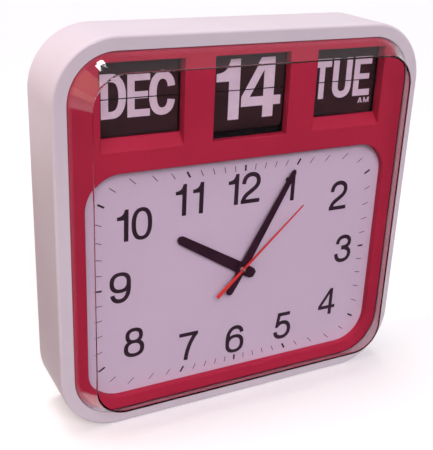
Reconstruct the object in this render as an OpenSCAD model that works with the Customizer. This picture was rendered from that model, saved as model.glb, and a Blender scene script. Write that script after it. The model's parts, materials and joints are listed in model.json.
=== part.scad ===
// Square wall clock with a flip calendar: month, date and weekday leaves over a quartz dial.
// Millimetres. The clock stands on its flat bottom, its face looks along -Y, +Z is up.
// Face coordinates are used inside: x right, y up from the case centre, and depth, which is
// measured into the clock from the front of the white rim.

/* [Case] */
// Width and height of the square case
case_w = 380; // [370:1:420]
// Depth of the case from the front of the rim to its back edge
case_depth = 71; // [70:0.5:80]
// Outer corner radius of the case
corner_r = 58; // [56:1:66]
// Width of the white rim round the front
rim_w = 13; // [12.5:0.5:14]
// Wall thickness of the case
case_wall = 3; // [2.5:0.1:3.2]
// Thickness of the rim behind its front face
rim_t = 3.5; // [3.2:0.1:4]
// Rounding of the rim's outer front edge
edge_r = 3; // [1:0.5:3]
// How far the back edge of the case stands past the rear cover
back_recess = 5; // [4.5:0.5:6]
// Thickness of the rear cover
cover_t = 2.5; // [2:0.1:3]

/* [Lens] */
// How far the clear lens stands in front of the rim
lens_proud = 23; // [22:0.5:30]
// Inward lean of the lens walls, from the rim's inner edge to the front face
lens_inset = 14; // [10:0.5:18]
// Thickness of the lens
lens_t = 2.5; // [2:0.1:2.5]
// Rounding of the front edge of the lens
lens_edge_r = 2; // [1:0.5:4]

/* [Front mask] */
// Depth of the red mask's face behind the rim's front
mask_recess = 3; // [2.6:0.1:3.2]
// Thickness of the red mask
mask_t = 2.2; // [1.8:0.1:2.4]
// Red strip left and right of the dial, from the rim
side_strip = 15.5; // [14:0.5:20]
// Red strip between the windows and the rim
top_strip = 11; // [11:0.5:13]
// Red strip below the dial
low_strip = 15.2; // [12.8:0.1:16]
// Red bar between the windows and the dial
bar_h = 20; // [18:0.5:26]
// Corner radius of the dial opening
dial_open_r = 33; // [20:1:36]
// Width of each calendar window
window_w = 78.5; // [78:0.1:80]
// Height of each calendar window
window_h = 77; // [76:0.5:78]
// Distance between the middles of two windows
window_pitch = 108; // [107:0.5:110]

/* [Hands] */
// Length of the hour hand from the middle of the dial
hour_len = 82; // [60:1:95]
// Length of the minute hand from the middle of the dial
minute_len = 112; // [90:1:113]
// Length of the second hand from the middle of the dial
second_len = 89; // [60:1:108]
// Hour hand's angle from twelve, clockwise
hour_angle = 301.5; // [0:0.5:360]
// Minute hand's angle from twelve, clockwise
minute_angle = 29; // [0:0.5:360]
// Second hand's angle from twelve, clockwise
second_angle = 47.5; // [0:0.5:360]

/* [Flip calendar] */
// Visible half height of a leaf, from the split line to its edge
leaf_half = 32; // [30:0.5:32]
// Thickness of a leaf
leaf_t = 0.2; // [0.15:0.05:0.2]
// Depth of the drum shaft
drum_depth = 22; // [21.6:0.1:22.4]
// Radius of the drum shaft
shaft_r = 2.5; // [2:0.1:2.6]
// How far a setting wheel's thumb disc stands out of the rear cover
thumb_proud = 2.6; // [1.5:0.1:4]

/* [Movement] */
// Width and height of the movement housing
move_w = 76; // [74:1:84]
// Depth of the movement housing
move_d = 30; // [30:0.5:32]
// Distance from the middle of the dial to the third wheel's arbor
third_arm = 17; // [16.5:0.1:17.5]
// Distance from the middle of the dial to the motion wheel's arbor
motion_arm = 13; // [12.8:0.1:13.4]
// Diameter of the battery
battery_d = 26; // [24:0.5:26]
// Length of the battery
battery_len = 50; // [46:0.5:50]

/* [Hidden] */
$fn = 64;

// Clearances: running shafts, loose parts side by side, and parts that only have to miss
run_gap = 0.05;
fit_gap = 0.3;
clear_gap = 0.5;
// Overlap that fuses two shapes of one piece, and overshoot of a cut
join = 0.1;
over = 1;

// Colours as the photograph shows them
case_white = "#e9e3ea";
lens_clear = [0.9, 0.93, 0.95, 0.25];
mask_red = "#a1263b";
dial_white = "#d9d3e2";
hand_black = "#231a1c";
second_red = "#c0303a";
leaf_black = "#211c1e";
frame_black = "#2b2829";
steel = "#b9bbc0";
brass = "#c2a35a";
gear_white = "#e6e2d6";
board_green = "#2f6d4b";
copper = "#b06a3a";
cell_grey = "#4d5563";

// Front layout, from the rim inwards
half_w = case_w / 2;
rim_y = (lens_proud - case_depth) / 2;
corner_c = half_w - corner_r;
rim_u = corner_r - rim_w;
rim_half = half_w - rim_w;
window_top = rim_half - top_strip;
window_low = window_top - window_h;
dial_top = window_low - bar_h;
dial_low = low_strip - rim_half;
open_y = (dial_top + dial_low) / 2;
dial_open_w = 2 * (rim_half - side_strip);
dial_open_h = dial_top - dial_low;
// The hands turn a little below the middle of the opening
hand_drop = 1.1;
dial_y = open_y - hand_drop;

// Depths, front to back
flange_front = rim_t;
flange_back = flange_front + lens_t;
mask_flange_t = 2;
mask_back = mask_recess + mask_t;
dial_front = 10;
dial_t = 2;
dial_back = dial_front + dial_t;
cover_back = case_depth - back_recess;
cover_front = cover_back - cover_t;

// Rim bosses and screws that clamp the mask and the lens
boss_r = 2.5;
boss_u = corner_r - case_wall - boss_r - fit_gap;
boss_along = 90;
screw_r = 1.25;
head_r = 2.2;
head_t = 1.6;
head_draft = 0.5;
cross_w = 2.6;
cross_t = 0.6;
cross_deep = 0.9;
pilot_gap = 0.05;
screw_bite = 4;

// Clear lens profile
lens_skirt_u = rim_u - fit_gap;
lens_front_u = rim_u - lens_inset;
lens_lean = atan((lens_skirt_u - lens_front_u) / lens_proud);
lens_wall_w = lens_t / cos(lens_lean);
lens_flange_u = boss_u - boss_r - fit_gap;
// Depth behind the rim's front to which the wall's inner face keeps its lean
skirt_lean = 2.1;
skirt_in_u = lens_skirt_u - lens_wall_w + skirt_lean * tan(lens_lean);

// Red mask: step inside the lens skirt, jambs and sloped sills
step_u = skirt_in_u - fit_gap;
step_wall = 2;
jamb_t = 1.6;
jamb_end = 13.5;
date_jamb_end = 11.5;
sill_rise = jamb_end - mask_recess;
dial_lip_t = 1.8;
dial_margin = 5.5;
dial_head_margin = 12;
dial_post_r = 2.3;
dial_post_x = 110;
dial_post_top = dial_top + dial_head_margin - 4;
dial_post_low = dial_low - dial_lip_t - dial_post_r - 0.2;
dial_screw_bite = 3.6;
screw_room = 0.4;

// Rear cover posts inside the case
post_r = 4.5;
post_len = 24;
post_half = half_w - case_wall - post_r + 1;
post_along = 100;
post_screw_len = 12;

// Hands, with the depth of each hand's front face
hand_t = 1;
hour_depth = 7;
minute_depth = 4;
second_depth = 1.6;
hour_pipe_r = 3.2;
minute_pipe_r = 2.2;
second_arbor_r = 1.2;
second_boss_r = 2.6;
cap_r = 1.8;
cap_top = 0.2;
// Hand outlines: tail length, widths at tail, hub and tip, and the clipped corner
hour_shape = [19, 11, 12, 9, 2.6];
minute_shape = [30, 7.6, 9.6, 5.2, 1.8];
second_shape = [38, 4.2, 2.4, 0.9, 0.2];
clip_slope = 1.4;

// Movement: gear layers by depth, tooth counts and arbors
move_front = dial_back;
move_wall = 2;
move_corner_r = 4;
ear_stand = 6;
pivot_boss_r = 2.4;
pivot_boss_t = 0.6;
move_back = move_front + move_d;
gear_t = 1.4;
hour_layer = 16.4;
cannon_layer = 19.6;
minute_layer = 23.4;
third_layer = 27.4;
second_layer = 31.4;
fifth_layer = 35.4;
second_pinion_z = 8;
third_z = 64;
third_pinion_z = 8;
minute_z = 60;
cannon_z = 12;
motion_z = 36;
motion_pinion_z = 10;
hour_z = 40;
second_z = 32;
fifth_pinion_z = 8;
fifth_z = 60;
rotor_z = 8;
set_z = 18;
arbor_r = 0.8;
pivot_len = 1;
end_play = 0.1;
pinion_over = 0.4;
third_dir = 180;
motion_dir = 0;
set_dir = 90;
fifth_dir = 270;
rotor_dir = 0;
calendar_dir = 90;
fifth_arm = third_arm;
rotor_arm = 13.6;
motion_module = 2 * motion_arm / (cannon_z + motion_z);
hour_module = 2 * motion_arm / (motion_pinion_z + hour_z);
set_arm = motion_module * (motion_z + set_z) / 2;
calendar_arm = hour_module * hour_z;
third_at = polar(third_arm, third_dir);
motion_at = polar(motion_arm, motion_dir);
fifth_at = polar(fifth_arm, fifth_dir);
rotor_at = fifth_at + polar(rotor_arm, rotor_dir);
set_at = motion_at + polar(set_arm, set_dir);
calendar_at = polar(calendar_arm, calendar_dir);
back_pivots = [third_at, fifth_at, rotor_at];
front_pivots = concat(back_pivots, [motion_at]);
magnet_r = 3;
magnet_t = 3;
magnet_back = fifth_layer - 1;
stator_t = 1;
stator_front = magnet_back - magnet_t / 2 - stator_t / 2;
stator_x0 = rotor_at[0] - 5;
stator_w = 22;
stator_leg = 3;
stator_plate_h = 9;
core_y = fifth_at[1] - 13;
coil_r = 3.6;
board_t = 1.2;
board_size = [36, 14];
board_margin = [4, 3];
board_at = board_size / 2 + board_margin - [1, 1] * (move_w / 2 - move_wall);
set_arbor_r = 1.5;
set_knob_r = 9;
knob_grip_step = 20;
knob_grip_r = 0.6;
ear_w = 9;
ear_x = move_w / 2 + ear_w / 2;

// Involute gears: tooth shape shared by every wheel and pinion
pressure = 20;
addendum = 0.75;
dedendum = 1.15;
backlash = 0.14;
flank_steps = 3;

// Flip calendar: per drum the leaf count, the radius of the leaf pivots and the gear's teeth
MONTH = 0;
DATE = 1;
DAY = 2;
leaf_count = [12, 31, 14];
pivot_r = [6, 9, 6];
gear_teeth = [24, 31, 28];
split_y = window_top - leaf_half - 1.5;
leaf_w = window_w - 1.5;
split_gap = 0.5;
pin_r = 0.4;
tab_w = 0.6;
tab_len = 0.5;
disc_t = 2;
disc_x = leaf_w / 2 + 0.7;
disc_rim = 1;
core_r = shaft_r + 1.4;
gear_x = disc_x + disc_t;
calendar_gear_t = 3;
cheek_t = 2;
left_cheek_x = -gear_x - 0.4 - cheek_t;
right_cheek_x = gear_x + calendar_gear_t + 0.8;
cheek_front = 16;
cheek_room = 5.5;
cheek_back = cover_front - cheek_room;
shaft_end = 1;
cheek_half = 47;
tie_t = 4;
tie_front = 26;
tie_back = 34;
gear_room = 1;
calendar_gear_r = (cover_front - gear_room - drum_depth) / (3 + 2 * addendum / min(gear_teeth));
set_depth = drum_depth + 2 * calendar_gear_r;
thumb_r = cover_back + thumb_proud - set_depth;
set_axle_r = 2.4;
thumb_x = right_cheek_x + cheek_t + 0.6;
thumb_t = 3.2;
thumb_grip_count = 36;
thumb_grip_r = 0.7;
lug_x = window_pitch / 2 + 2;
lug_y = 32;
lug_w = 8;
lug_t = 2;
lug_front = 24;
lug_post_r = 3;
lug_screw_len = 7;
finger_t = 0.5;
finger_w = 8;
finger_gap = 0.4;
finger_stand = 1.3;

// Battery bay on the rear cover, sliding door and hanging keyhole
bay_wall = 1.6;
bay_w = battery_len + 6;
bay_h = battery_d + 2;
bay_drop = 14;
bay_y = dial_y - move_w / 2 - bay_drop - bay_h / 2;
bay_front = cover_front - battery_d - 3;
door_w = bay_w + 8;
door_h = bay_h + 8;
door_t = 2;
rail_lip = 1.5;
rail_w = 3;
rail_lip_t = 1.2;
door_rib_w = 1.2;
door_rib_t = 0.5;
door_rib_pitch = 3;
cell_depth = bay_front + battery_d / 2 + 0.4;
cell_nub = 2;
contact_t = 0.6;
contact_w = 14;
contact_r = 2.2;
keyhole_r = 5;
keyhole_y = split_y + leaf_half - keyhole_r;
keyhole_slot_w = 5;
keyhole_rise = 11;

// Trip slide between the movement and the weekday drum
cam_r = 6;
cam_lift = 2;
cam_t = 3;
cam_depth = move_back + 1;
slide_t = 2;
slide_x = -15;
slide_w = 12;
slide_gap = 0.4;
slide_lift = 4;
slide_arm_y = dial_top + 1;
slide_arm_h = 9;
pawl_front = tie_back + 0.5;
pawl_t = 2;
guide_r = 2;
guide_end = 1;
guide_ys = [12, 32];

function polar(r, a) = [r * cos(a), r * sin(a)];
function module_x(i) = (i - 1) * window_pitch;
function leaf_step(i) = 360 / leaf_count[i];
function leaf_len(i) = leaf_half - pivot_r[i] * sin(leaf_step(i) / 2);
function leaf_root(i) = pivot_r[i] * sin(leaf_step(i) / 2) - split_gap;
function leaf_front(i) = drum_depth - pivot_r[i] * cos(leaf_step(i) / 2) - leaf_t / 2;

// Involute angle in degrees at radius r over a base circle
function involute(base, r) =
    let (a = acos(min(1, base / r)))
    tan(a) * 180 / PI - a;

// One tooth as polar pairs, from its lower flank to its upper one
function tooth(z, pitch) =
    let (
        m = 2 * pitch / z,
        base = pitch * cos(pressure),
        root = pitch - dedendum * m,
        tip = pitch + addendum * m,
        low = max(base, root),
        half = 90 / z * (1 - backlash) + involute(base, pitch),
        flank = [for (i = [0:flank_steps])
            let (r = low + (tip - low) * i / flank_steps)
            [r, half - involute(base, r)]],
        foot = base > root ? [[root, half]] : [],
        upper = concat(foot, flank)
    )
    concat([for (p = upper) [p[0], -p[1]]], [for (i = [len(upper) - 1:-1:0]) upper[i]]);

function gear_points(z, pitch, phase) =
    [for (k = [0:z - 1], p = tooth(z, pitch)) polar(p[0], p[1] + phase + 360 * k / z)];

// Phase of gear B, lying at angle dir from gear A, so that its gap takes A's tooth
function mesh_phase(dir, z_a, phase_a, z_b) =
    dir + 180 + 180 / z_b - (phase_a - dir) * z_a / z_b;

third_phase = mesh_phase(third_dir, second_pinion_z, third_dir, third_z);
minute_phase = mesh_phase(third_dir + 180, third_pinion_z, third_dir + 180, minute_z);
motion_phase = mesh_phase(motion_dir, cannon_z, motion_dir, motion_z);
hour_phase = mesh_phase(motion_dir + 180, motion_pinion_z, motion_dir + 180, hour_z);
calendar_phase = mesh_phase(calendar_dir, hour_z, hour_phase, hour_z);
set_phase = mesh_phase(set_dir, motion_z, motion_phase, set_z);
fifth_phase = mesh_phase(fifth_dir, second_z, fifth_dir, fifth_pinion_z);
rotor_phase = mesh_phase(rotor_dir, fifth_z, rotor_dir, rotor_z);

// Face coordinates to the clock's own frame
module face() {
    translate([0, rim_y, half_w]) rotate([90, 0, 0]) children();
}

// Extrude a face outline between two depths
module slab(front, back) {
    translate([0, 0, -back]) linear_extrude(back - front) children();
}

// Extrude an outline drawn in depth and height sideways, from x0 to x1
module across(x0, x1) {
    translate([x0, 0, 0]) rotate([0, 90, 0]) linear_extrude(x1 - x0) children();
}

module rounded(w, h, r) {
    square([w - 2 * r, h], center = true);
    square([w, h - 2 * r], center = true);
    for (sx = [-1, 1], sy = [-1, 1])
        translate([sx * (w / 2 - r), sy * (h / 2 - r)]) circle(r);
}

// Square outline parallel to the rim, u from the corner centres
module parallel_to_rim(u) {
    rounded(2 * (corner_c + u), 2 * (corner_c + u), u);
}

// Sweep a profile of u and height round the rounded square
module sweep_round() {
    for (i = [0:3]) rotate(90 * i) {
        translate([corner_c, corner_c, 0]) rotate([90, 0, 0]) linear_extrude(2 * corner_c) children();
        translate([corner_c, corner_c, 0]) rotate_extrude(angle = 90) children();
    }
}

// Two places on each of the four sides
module on_sides(half, along) {
    for (i = [0:3], s = [-1, 1]) rotate(90 * i) translate([half, s * along]) children();
}

module disc_slab(front, back, r) {
    slab(front, back) circle(r);
}

// Pan-head screw with a cross recess, its head on a seat at the given depth
module screw(tip, seat) {
    end = seat + head_t;
    difference() {
        union() {
            disc_slab(tip, seat, screw_r);
            translate([0, 0, -end]) cylinder(h = head_t, r1 = head_r - head_draft, r2 = head_r);
        }
        for (turn = [0, 90]) slab(end - cross_deep, end + over)
            rotate(turn) square([cross_w, cross_t], center = true);
    }
}

module gear(front, back, z, pitch, phase) {
    slab(front, back) polygon(gear_points(z, pitch, phase));
}

module at_dial() {
    face() translate([0, dial_y, 0]) children();
}

// Case

module case_profile() {
    translate([rim_u, -rim_t]) square([rim_w - edge_r, rim_t]);
    translate([corner_r - edge_r, -rim_t]) square([edge_r, rim_t - edge_r]);
    translate([corner_r - edge_r, -edge_r]) intersection() {
        circle(edge_r);
        square(edge_r);
    }
    translate([corner_r - case_wall, -case_depth]) square([case_wall, case_depth - rim_t]);
}

module case_shell() {
    color(case_white) face() difference() {
        union() {
            sweep_round() case_profile();
            on_sides(corner_c + boss_u, boss_along) disc_slab(flange_front - join, flange_back, boss_r);
            on_sides(post_half, post_along) disc_slab(cover_front - post_len, cover_front, post_r);
        }
        on_sides(corner_c + boss_u, boss_along)
            disc_slab(flange_back - screw_bite, flange_back + over, screw_r + pilot_gap);
        on_sides(post_half, post_along)
            disc_slab(cover_front - post_screw_len, cover_front + over, screw_r + pilot_gap);
    }
}

module rear_cover() {
    color(case_white) face() difference() {
        union() {
            slab(cover_front, cover_back) parallel_to_rim(corner_r - case_wall - clear_gap);
            for (s = [-1, 1]) door_rail(s);
        }
        on_sides(post_half, post_along) disc_slab(cover_front - over, cover_back + over, screw_r + fit_gap);
        slab(cover_front - over, cover_back + over) {
            for (i = [MONTH, DATE, DAY])
                translate([module_x(i) + thumb_x + thumb_t / 2, split_y])
                    square([thumb_t + 2 * clear_gap, 2 * thumb_slot_half()], center = true);
            translate([set_at[0], dial_y + set_at[1]]) circle(set_arbor_r + 1.5);
            translate([0, bay_y]) square([bay_w - 2, bay_h - 2], center = true);
            translate([0, keyhole_y]) circle(keyhole_r);
            translate([-keyhole_slot_w / 2, keyhole_y]) square([keyhole_slot_w, keyhole_rise]);
            translate([0, keyhole_y + keyhole_rise]) circle(keyhole_slot_w / 2);
        }
    }
}

// Half chord of the thumb disc at the cover, with room to turn
function thumb_slot_half() = sqrt(pow(thumb_r, 2) - pow(cover_front - set_depth, 2)) + 1.5;

module door_rail(side) {
    inner = door_w / 2 + fit_gap;
    lip_front = cover_back + door_t + 2 * fit_gap;
    slab(cover_back - join, lip_front + rail_lip_t)
        translate([side * (inner + rail_w / 2), bay_y]) square([rail_w, door_h], center = true);
    slab(lip_front, lip_front + rail_lip_t)
        translate([side * (inner + (rail_w - rail_lip) / 2), bay_y])
            square([rail_w + rail_lip, door_h], center = true);
}

module rear_cover_screws() {
    color(steel) face() on_sides(post_half, post_along)
        screw(cover_back - post_screw_len, cover_back);
}

module clear_lens() {
    bend = lens_edge_r;
    turn = 90 - lens_lean;
    tangent = bend * tan(turn / 2);
    arc_c = [lens_front_u - tangent, lens_proud - bend];
    inner_u = lens_front_u + (lens_skirt_u - lens_front_u) * lens_t / lens_proud - lens_wall_w;
    color(lens_clear) face() {
        sweep_round() polygon(concat(
            [[skirt_in_u, -skirt_lean], [skirt_in_u, -flange_back], [lens_flange_u, -flange_back],
             [lens_flange_u, -flange_front], [lens_skirt_u, -flange_front], [lens_skirt_u, 0]],
            [for (k = [0:6]) arc_c + polar(bend, lens_lean + turn * k / 6)],
            [[arc_c[0] - 2, lens_proud], [arc_c[0] - 2, lens_proud - lens_t],
             [inner_u, lens_proud - lens_t]]
        ));
        slab(-lens_proud, lens_t - lens_proud) parallel_to_rim(arc_c[0] - 1);
    }
}

// Front mask

module dial_opening(grow) {
    translate([0, open_y]) rounded(dial_open_w + 2 * grow, dial_open_h + 2 * grow, dial_open_r + grow);
}

module window(i, grow) {
    translate([module_x(i), (window_top + window_low) / 2])
        square([window_w + 2 * grow, window_h + 2 * grow], center = true);
}

module on_dial_posts() {
    for (x = [-dial_post_x, 0, dial_post_x], y = [dial_post_low, dial_post_top]) translate([x, y]) children();
}

module on_lugs() {
    for (sx = [-1, 1], sy = [-1, 1]) translate([sx * lug_x, split_y + sy * lug_y]) children();
}

module front_mask() {
    color(mask_red) face() {
        difference() {
            union() {
                slab(mask_recess, mask_back) parallel_to_rim(step_u);
                slab(mask_recess, flange_back + mask_flange_t) difference() {
                    parallel_to_rim(step_u);
                    parallel_to_rim(step_u - step_wall);
                }
                slab(flange_back, flange_back + mask_flange_t) difference() {
                    parallel_to_rim(corner_r - case_wall - clear_gap);
                    parallel_to_rim(step_u - step_wall);
                }
                slab(mask_recess, dial_front) dial_opening(dial_lip_t);
                for (i = [MONTH, DAY]) slab(mask_recess, jamb_end) window(i, jamb_t);
                slab(mask_recess, date_jamb_end) window(DATE, jamb_t);
                on_dial_posts() disc_slab(mask_back - join, dial_front, dial_post_r);
                on_lugs() disc_slab(mask_back - join, lug_front, lug_post_r);
            }
            slab(mask_recess - over, dial_front + over) dial_opening(0);
            for (i = [MONTH, DATE, DAY]) slab(mask_recess - over, jamb_end + over) window(i, 0);
            on_sides(corner_c + boss_u, boss_along)
                disc_slab(flange_back - over, flange_back + mask_flange_t + over, screw_r + fit_gap);
            on_dial_posts()
                disc_slab(dial_front - dial_screw_bite - screw_room, dial_front + over, screw_r + pilot_gap);
            on_lugs()
                disc_slab(lug_front - lug_screw_len - screw_room, lug_front + over, screw_r + pilot_gap);
        }
        for (i = [MONTH, DAY]) across(module_x(i) - window_w / 2, module_x(i) + window_w / 2) polygon([
            [mask_recess, window_low], [jamb_end, window_low], [jamb_end, window_low + sill_rise]
        ]);
    }
}

module mask_screws() {
    color(steel) face() on_sides(corner_c + boss_u, boss_along)
        screw(flange_back - screw_bite + screw_room, flange_back + mask_flange_t);
}

// Dial and hands

module dial_plate() {
    top = dial_top + dial_head_margin;
    low = dial_low - dial_margin;
    w = dial_open_w + 2 * dial_margin;
    r = dial_open_r + dial_margin;
    color(dial_white) difference() {
        union() {
            face() slab(dial_front, dial_back) translate([0, (top + low) / 2]) rounded(w, top - low, r);
            on_move_ears() disc_slab(dial_back - join, dial_back + ear_stand, ear_w / 2);
        }
        at_dial() disc_slab(dial_front - over, dial_back + over, hour_pipe_r + clear_gap);
        face() on_dial_posts() disc_slab(dial_front - over, dial_back + over, screw_r + fit_gap);
        on_move_ears() disc_slab(dial_back, dial_back + ear_stand + over, screw_r + pilot_gap);
    }
}

module dial_screws() {
    color(steel) face() on_dial_posts() screw(dial_front - dial_screw_bite, dial_back);
}

// Hand outline along twelve o'clock, with clipped ends
module bar_hand(shape, len) {
    tail = shape[0];
    tail_w = shape[1] / 2;
    hub_w = shape[2] / 2;
    tip_w = shape[3] / 2;
    clip = shape[4];
    rise = clip * clip_slope;
    polygon([
        [clip - tail_w, -tail], [tail_w - clip, -tail], [tail_w, rise - tail], [hub_w, 0],
        [tip_w, len - rise], [tip_w - clip, len], [clip - tip_w, len], [-tip_w, len - rise],
        [-hub_w, 0], [-tail_w, rise - tail]
    ]);
}

module hour_hand() {
    color(hand_black) at_dial() slab(hour_depth, hour_depth + hand_t) difference() {
        rotate(-hour_angle) bar_hand(hour_shape, hour_len);
        circle(hour_pipe_r + pilot_gap / 2);
    }
}

module minute_hand() {
    color(hand_black) at_dial() slab(minute_depth, minute_depth + hand_t) difference() {
        rotate(-minute_angle) bar_hand(minute_shape, minute_len);
        circle(minute_pipe_r + pilot_gap / 2);
    }
}

module second_hand() {
    color(second_red) at_dial() {
        slab(second_depth, second_depth + hand_t) difference() {
            union() {
                rotate(-second_angle) bar_hand(second_shape, second_len);
                circle(second_boss_r);
            }
            circle(second_arbor_r + pilot_gap / 2);
        }
        slab(cap_top, second_depth) circle(cap_r);
    }
}

// Movement

module on_move_ears() {
    at_dial() for (sx = [-1, 1], sy = [-1, 1])
        translate([sx * ear_x, sy * (move_w / 2 - ear_w / 2)]) children();
}

module at_pivots(places) {
    for (p = places) translate(p) children();
}

module movement_housing() {
    ear_front = dial_back + ear_stand;
    color(frame_black) difference() {
        union() {
            at_dial() difference() {
                slab(move_front, move_back - move_wall) rounded(move_w, move_w, move_corner_r);
                slab(move_front + move_wall, move_back)
                    rounded(move_w - 2 * move_wall, move_w - 2 * move_wall, move_corner_r - move_wall);
            }
            on_move_ears() {
                disc_slab(ear_front, ear_front + move_wall, ear_w / 2);
                slab(ear_front, ear_front + move_wall) square([ear_w, ear_w * 0.7], center = true);
            }
            at_dial() at_pivots(front_pivots)
                disc_slab(pivot_front(), move_front + move_wall + pivot_boss_t, pivot_boss_r);
        }
        at_dial() disc_slab(move_front - over, move_front + move_wall + over, hour_pipe_r + run_gap);
        at_dial() at_pivots(front_pivots) disc_slab(pivot_front(), ear_front, arbor_r + run_gap);
        at_dial() translate(calendar_at) disc_slab(pivot_front(), ear_front, arbor_r + run_gap);
        at_dial() translate(set_at) disc_slab(pivot_front(), ear_front, set_arbor_r + run_gap);
        on_move_ears() disc_slab(ear_front - over, ear_front + move_wall + over, screw_r + fit_gap);
    }
}

// Depth where the arbors' pivots begin, inside the housing wall, and end, inside its cover
function pivot_front() = move_front + move_wall - pivot_len;
function pivot_back() = move_back - move_wall + pivot_len;

module movement_cover() {
    color(frame_black) at_dial() difference() {
        union() {
            slab(move_back - move_wall, move_back) rounded(move_w, move_w, move_corner_r);
            on_guides() disc_slab(move_back - join, slide_back() + guide_end, guide_r);
            on_stator_posts() disc_slab(stator_front + stator_t, move_back - join, stator_leg / 2);
        }
        at_pivots(back_pivots) disc_slab(0, pivot_back() + join, arbor_r + run_gap);
        disc_slab(0, pivot_back() + join, second_arbor_r + run_gap);
        for (p = [set_at, calendar_at])
            translate(p) disc_slab(0, move_back + over, set_arbor_r + run_gap);
    }
}

module movement_screws() {
    color(steel) on_move_ears() screw(dial_back + screw_room, dial_back + ear_stand + move_wall);
}

module arbor(r) {
    disc_slab(pivot_front() + end_play, pivot_back() - end_play, r);
}

module rotor() {
    color(steel) at_dial() translate(rotor_at) {
        arbor(arbor_r);
        gear(fifth_layer - pinion_over, fifth_layer + gear_t + pinion_over, rotor_z,
            rotor_pitch(), rotor_phase);
        disc_slab(magnet_back - magnet_t, magnet_back, magnet_r);
    }
}

function rotor_pitch() = rotor_arm * rotor_z / (rotor_z + fifth_z);

module fifth_wheel() {
    color(gear_white) at_dial() translate(fifth_at) {
        arbor(arbor_r);
        gear(fifth_layer, fifth_layer + gear_t, fifth_z, rotor_arm - rotor_pitch(), rotor_dir);
        gear(second_layer - pinion_over, fifth_layer + join, fifth_pinion_z, fifth_pitch(), fifth_phase);
    }
}

function fifth_pitch() = fifth_arm * fifth_pinion_z / (fifth_pinion_z + second_z);

module second_wheel() {
    pinion = third_arm * second_pinion_z / (second_pinion_z + third_z);
    color(gear_white) at_dial() {
        disc_slab(second_depth, pivot_back() - end_play, second_arbor_r);
        gear(second_layer, second_layer + gear_t, second_z, fifth_arm - fifth_pitch(), fifth_dir);
        gear(third_layer - pinion_over, second_layer + join, second_pinion_z, pinion, third_dir);
    }
}

module third_wheel() {
    wheel = third_arm * third_z / (second_pinion_z + third_z);
    pinion = third_arm * third_pinion_z / (third_pinion_z + minute_z);
    color(gear_white) at_dial() translate(third_at) {
        arbor(arbor_r);
        gear(third_layer, third_layer + gear_t, third_z, wheel, third_phase);
        gear(minute_layer - pinion_over, third_layer + join, third_pinion_z, pinion, third_dir + 180);
    }
}

module minute_wheel() {
    wheel = third_arm * minute_z / (third_pinion_z + minute_z);
    color(gear_white) at_dial() difference() {
        union() {
            disc_slab(minute_depth, minute_layer + gear_t, minute_pipe_r);
            gear(minute_layer, minute_layer + gear_t, minute_z, wheel, minute_phase);
            gear(cannon_layer - pinion_over, minute_layer + join, cannon_z,
                motion_module * cannon_z / 2, motion_dir);
        }
        disc_slab(minute_depth - over, minute_layer + gear_t + over, second_arbor_r + run_gap);
    }
}

// The motion wheel turns on a stub in the front plate, clear of the minute wheel behind it
module motion_wheel() {
    color(gear_white) at_dial() translate(motion_at) {
        disc_slab(pivot_front() + end_play, cannon_layer + gear_t + join, arbor_r);
        gear(cannon_layer, cannon_layer + gear_t, motion_z, motion_module * motion_z / 2, motion_phase);
        gear(hour_layer - pinion_over, cannon_layer + join, motion_pinion_z,
            hour_module * motion_pinion_z / 2, motion_dir + 180);
    }
}

module hour_wheel() {
    color(gear_white) at_dial() difference() {
        union() {
            disc_slab(hour_depth, hour_layer + gear_t, hour_pipe_r);
            gear(hour_layer, hour_layer + gear_t, hour_z, hour_module * hour_z / 2, hour_phase);
        }
        disc_slab(hour_depth - over, hour_layer + gear_t + over, minute_pipe_r + run_gap);
    }
}

// Twelve hour wheel, with the cam that works the trip slide behind the movement
module calendar_wheel() {
    color(gear_white) at_dial() translate(calendar_at) {
        disc_slab(pivot_front() + end_play, hour_layer + join, arbor_r);
        gear(hour_layer, hour_layer + gear_t, hour_z, hour_module * hour_z / 2, calendar_phase);
        disc_slab(hour_layer + join, cam_depth + cam_t, set_arbor_r);
        translate([0, -cam_lift]) disc_slab(cam_depth, cam_depth + cam_t, cam_r);
    }
}

module set_knob() {
    knob_front = cover_back + 2 * fit_gap;
    color(gear_white) at_dial() translate(set_at) {
        disc_slab(pivot_front() + end_play, knob_front + join, set_arbor_r);
        gear(cannon_layer, cannon_layer + gear_t, set_z, motion_module * set_z / 2, set_phase);
        slab(knob_front, case_depth - clear_gap) difference() {
            circle(set_knob_r);
            for (a = [0:knob_grip_step:359]) translate(polar(set_knob_r, a)) circle(knob_grip_r, $fn = 16);
        }
    }
}

module circuit_board() {
    back = move_back - move_wall;
    color(board_green) at_dial() translate(board_at)
        slab(back - board_t, back) square(board_size, center = true);
}

module drive_coil() {
    x0 = stator_x0 + stator_leg + clear_gap;
    x1 = stator_x0 + stator_w - stator_leg - clear_gap;
    color(copper) at_dial() across(x0, x1) translate([stator_front + stator_t / 2, core_y]) difference() {
        circle(coil_r);
        square([stator_t + fit_gap, stator_leg + fit_gap], center = true);
    }
}

// Stator: a plate round the magnet and two legs to the core that carries the coil
module stator() {
    legs = [stator_x0, stator_x0 + stator_w - stator_leg];
    color(steel) at_dial() slab(stator_front, stator_front + stator_t) difference() {
        union() {
            translate([stator_x0, core_y - stator_leg / 2]) square([stator_w, stator_leg]);
            for (x = legs) translate([x, core_y]) square([stator_leg, rotor_at[1] - core_y]);
            translate([stator_x0, rotor_at[1] - stator_plate_h / 2]) square([stator_w, stator_plate_h]);
        }
        translate(rotor_at) circle(magnet_r + clear_gap);
    }
}

module on_stator_posts() {
    for (x = [stator_x0, stator_x0 + stator_w - stator_leg])
        translate([x + stator_leg / 2, core_y]) children();
}

// Battery bay

module at_bay() {
    face() translate([0, bay_y, 0]) children();
}

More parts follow.
